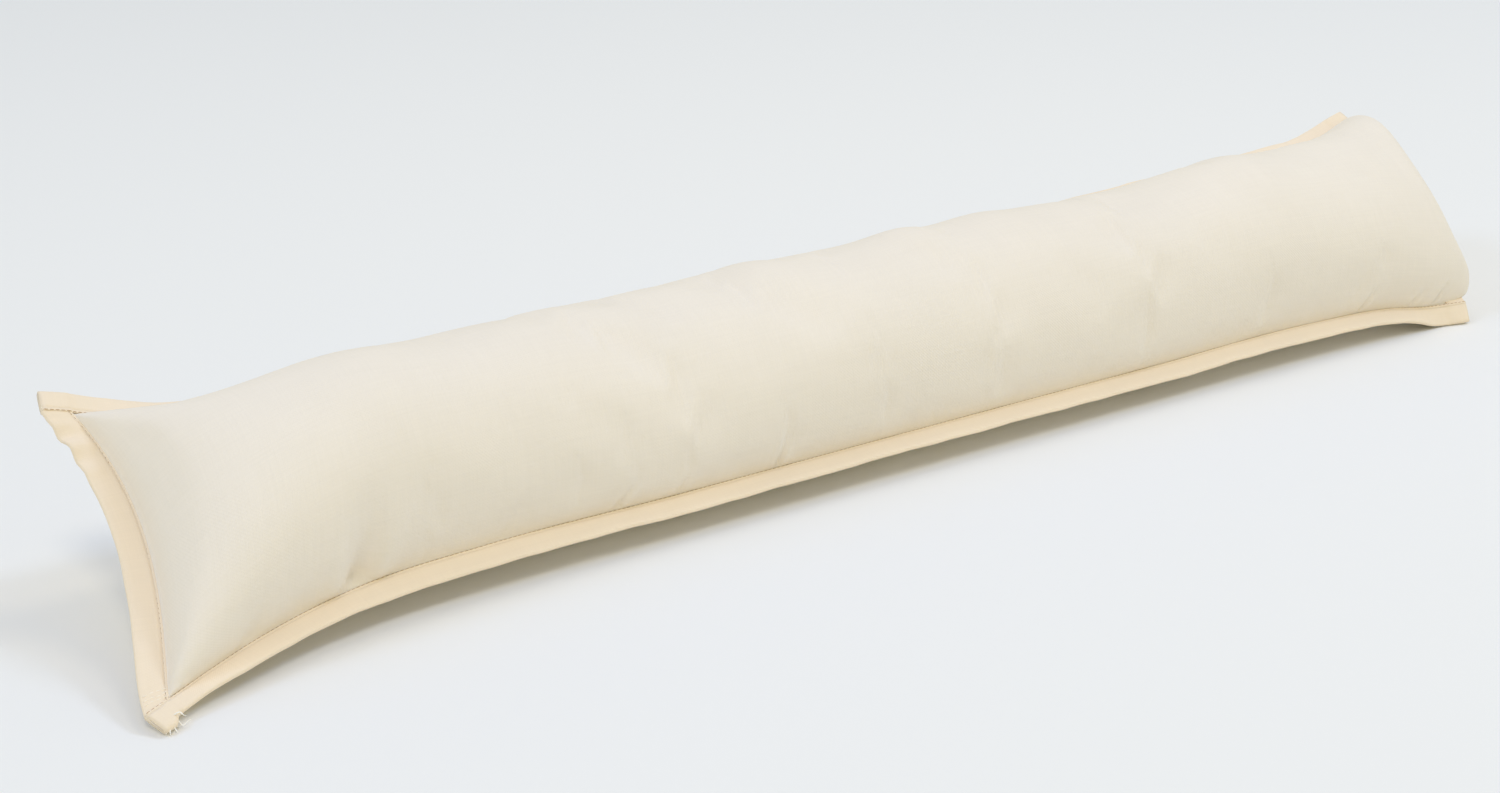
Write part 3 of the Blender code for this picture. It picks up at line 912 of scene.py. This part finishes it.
class BUILD_OT_stage(bpy.types.Operator):
    """Sets the floor, the lights and the camera."""

    bl_idname = "draught_excluder.stage"
    bl_label = "Stage"

    def execute(self, context):
        stage = context.scene.stage_settings
        floor = mesh_object("floor", [(-8, -8, -0.0002), (8, -8, -0.0002), (8, 8, -0.0002), (-8, 8, -0.0002)], [(0, 1, 2, 3)])
        material, tree, shader = new_material("matt_paper")
        shader.inputs["Base Color"].default_value = tuple(stage.floor)
        shader.inputs["Roughness"].default_value = 0.95
        shader.inputs["Specular IOR Level"].default_value = 0.1
        floor.data.materials.append(material)
        world = bpy.data.worlds.new("studio")
        world.use_nodes = True
        tree = world.node_tree
        place = add_node(tree, "ShaderNodeTexCoord")
        height = add_node(tree, "ShaderNodeSeparateXYZ", links={0: place.outputs["Generated"]})
        share = add_node(
            tree,
            "ShaderNodeMapRange",
            {"interpolation_type": "SMOOTHSTEP", "From Min": 0.3, "From Max": 0.95},
            {"Value": height.outputs["Z"]},
        )
        room = add_node(tree, "ShaderNodeMix", {"data_type": "RGBA"}, {"Factor": share.outputs[0]})
        room.inputs[6].default_value = WARM_WALLS
        room.inputs[7].default_value = COOL_CEILING
        # Straight past the floor the camera sees pale paper instead of the warm walls.
        seen = add_node(tree, "ShaderNodeLightPath")
        behind = add_node(tree, "ShaderNodeMix", {"data_type": "RGBA"}, {"Factor": seen.outputs["Is Camera Ray"], 6: room.outputs[2]})
        behind.inputs[7].default_value = (0.72, 0.73, 0.75, 1.0)
        lit = tree.nodes["Background"]
        lit.inputs["Strength"].default_value = stage.room_strength
        tree.links.new(behind.outputs[2], lit.inputs["Color"])
        context.scene.world = world
        for lamp in LAMPS:
            light = bpy.data.lights.new(lamp.name, "AREA")
            light.shape = "DISK"
            light.size = lamp.size
            light.energy = lamp.power * stage.lamp_strength
            light.color = lamp.colour
            source = bpy.data.objects.new(lamp.name, light)
            tilt, turn = math.radians(lamp.tilt), math.radians(lamp.azimuth)
            away = Vector((math.sin(tilt) * math.cos(turn), math.sin(tilt) * math.sin(turn), math.cos(tilt)))
            source.location = Vector((0.15, 0.30, 0.0)) + away * lamp.distance
            source.rotation_euler = away.to_track_quat("Z", "Y").to_euler()
            context.scene.collection.objects.link(source)
        camera = bpy.data.cameras.new("camera")
        camera.lens = stage.lens
        camera.sensor_width = 36.0
        camera.clip_start = 0.05
        viewer = bpy.data.objects.new("camera", camera)
        viewer.location = (-0.71339, -0.94796, 0.52012)
        viewer.rotation_euler = (math.radians(90 - 22.56), 0.0, math.radians(-33.186))
        context.scene.collection.objects.link(viewer)
        context.scene.camera = viewer
        context.scene.view_settings.view_transform = "Standard"
        return {"FINISHED"}


class VIEW3D_PT_draught_excluder(bpy.types.Panel):
    """Lists the builders and their settings."""

    bl_label = "Draught Excluder"
    bl_space_type = "VIEW_3D"
    bl_region_type = "UI"
    bl_category = "Draught Excluder"

    def draw(self, context):
        for group in (context.scene.cushion_sizes, context.scene.cushion_colours, context.scene.stage_settings):
            for name in group.__annotations__:
                self.layout.prop(group, name)
        for operator in OPERATORS:
            self.layout.operator(operator.bl_idname)


GROUPS = {"cushion_sizes": CushionSizes, "cushion_colours": CushionColours, "stage_settings": StageSettings}
OPERATORS = (BUILD_OT_filled_cover, BUILD_OT_bindings, BUILD_OT_loose_threads, BUILD_OT_stage)


def register():
    for kind in (*GROUPS.values(), *OPERATORS, VIEW3D_PT_draught_excluder):
        bpy.utils.register_class(kind)
    for name, group in GROUPS.items():
        setattr(bpy.types.Scene, name, PointerProperty(type=group))


def unregister():
    for name in GROUPS:
        delattr(bpy.types.Scene, name)
    for kind in (VIEW3D_PT_draught_excluder, *reversed(OPERATORS), *reversed(GROUPS.values())):
        bpy.utils.unregister_class(kind)


def main():
    register()
    bpy.ops.draught_excluder.stage()
    bpy.ops.draught_excluder.filled_cover()
    bpy.ops.draught_excluder.bindings()
    bpy.ops.draught_excluder.loose_threads()


if __name__ == "__main__":
    main()
